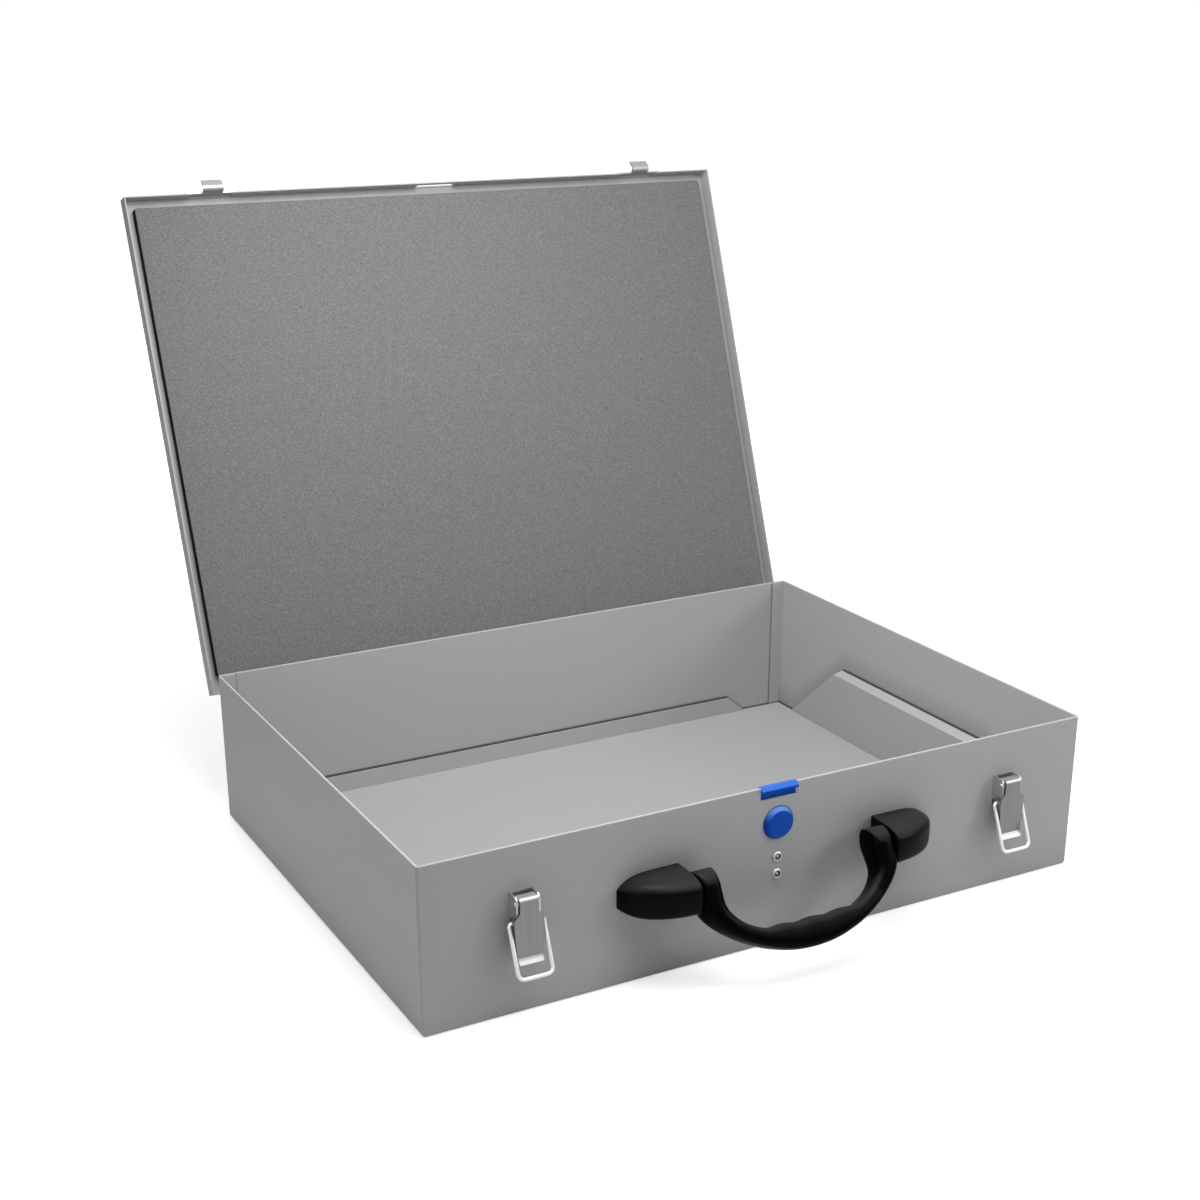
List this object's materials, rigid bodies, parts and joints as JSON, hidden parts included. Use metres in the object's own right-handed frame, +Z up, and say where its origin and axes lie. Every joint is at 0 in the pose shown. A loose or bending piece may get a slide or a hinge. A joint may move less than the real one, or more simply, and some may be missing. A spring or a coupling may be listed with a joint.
{
  "type": "sheet metal organizer case",
  "caption": "Shallow folded steel case with a hinged foam-lined lid, toggle latches with wire bails, push-button catch and folding carrying handle.",
  "frame": {"origin": "centre of the case's bottom face, where it stands", "axes": "+X to the right along the front wall, +Y from the front wall with the handle to the hinged back wall, +Z up"},
  "size_m": [0.4424, 0.5041, 0.3982],
  "materials": {
    "shell_steel": "satin grey powder coat",
    "liner_steel": "satin grey",
    "lid_steel": "satin grey powder coat",
    "zinc_steel": "zinc plated, bright",
    "hinge_steel": "satin",
    "pin_steel": "satin",
    "spring_steel": "satin",
    "foam": "open-cell foam, matt",
    "black_plastic": "fine matt",
    "blue_plastic": "semi-gloss"
  },
  "bodies": {
    "case": {"body_shell": "shell_steel", "floor_liner": "liner_steel", "hinge_leaf_body": "hinge_steel", "hinge_pin": "pin_steel", "latch_left_base": "zinc_steel", "latch_left_pin": "pin_steel", "latch_left_rivets": "zinc_steel", "latch_right_base": "zinc_steel", "latch_right_pin": "pin_steel", "latch_right_rivets": "zinc_steel", "handle_bracket_left": "black_plastic", "handle_bracket_right": "black_plastic", "handle_screws_left": "zinc_steel", "handle_screws_right": "zinc_steel", "catch_spring": "spring_steel", "spring_rivets": "zinc_steel"},
    "lid": {"lid_shell": "lid_steel", "lid_foam": "foam", "hinge_leaf_lid": "hinge_steel", "keeper_left": "zinc_steel", "keeper_right": "zinc_steel"},
    "lever_left": {"latch_left_lever": "zinc_steel"},
    "lever_right": {"latch_right_lever": "zinc_steel"},
    "bail_left": {"latch_left_bail": "zinc_steel"},
    "bail_right": {"latch_right_bail": "zinc_steel"},
    "catch": {"lid_catch": "blue_plastic", "release_button": "blue_plastic"},
    "handle": {"handle_grip": "black_plastic"}
  },
  "joints": [
    {"name": "lid_hinge", "type": "hinge", "parent": "case", "child": "lid", "pos_m": [0, 0.166, 0.0829], "axis": [1, 0, 0], "range_deg": [0, 110]},
    {"name": "lever_left_swing", "type": "hinge", "parent": "case", "child": "lever_left", "pos_m": [-0.162, -0.1705, 0.07], "axis": [-1, 0, 0], "range_deg": [0, 155]},
    {"name": "bail_left_swing", "type": "hinge", "parent": "lever_left", "child": "bail_left", "pos_m": [-0.162, -0.169, 0.0585], "axis": [-1, 0, 0], "range_deg": [-31, 162.07]},
    {"name": "lever_right_swing", "type": "hinge", "parent": "case", "child": "lever_right", "pos_m": [0.162, -0.1705, 0.07], "axis": [-1, 0, 0], "range_deg": [0, 155]},
    {"name": "bail_right_swing", "type": "hinge", "parent": "lever_right", "child": "bail_right", "pos_m": [0.162, -0.169, 0.0585], "axis": [-1, 0, 0], "range_deg": [-31, 162.07]},
    {"name": "catch_press", "type": "hinge", "parent": "case", "child": "catch", "pos_m": [0, -0.161, 0.06], "axis": [-1, 0, 0], "range_deg": [0, 2.3], "stiffness_Nm_per_rad": 2, "springref_deg": -1.72, "deforming": ["catch_spring"]},
    {"name": "handle_swing", "type": "hinge", "parent": "case", "child": "handle", "pos_m": [0, -0.1785, 0.056], "axis": [-1, 0, 0], "range_deg": [-34, 58]}
  ]
}
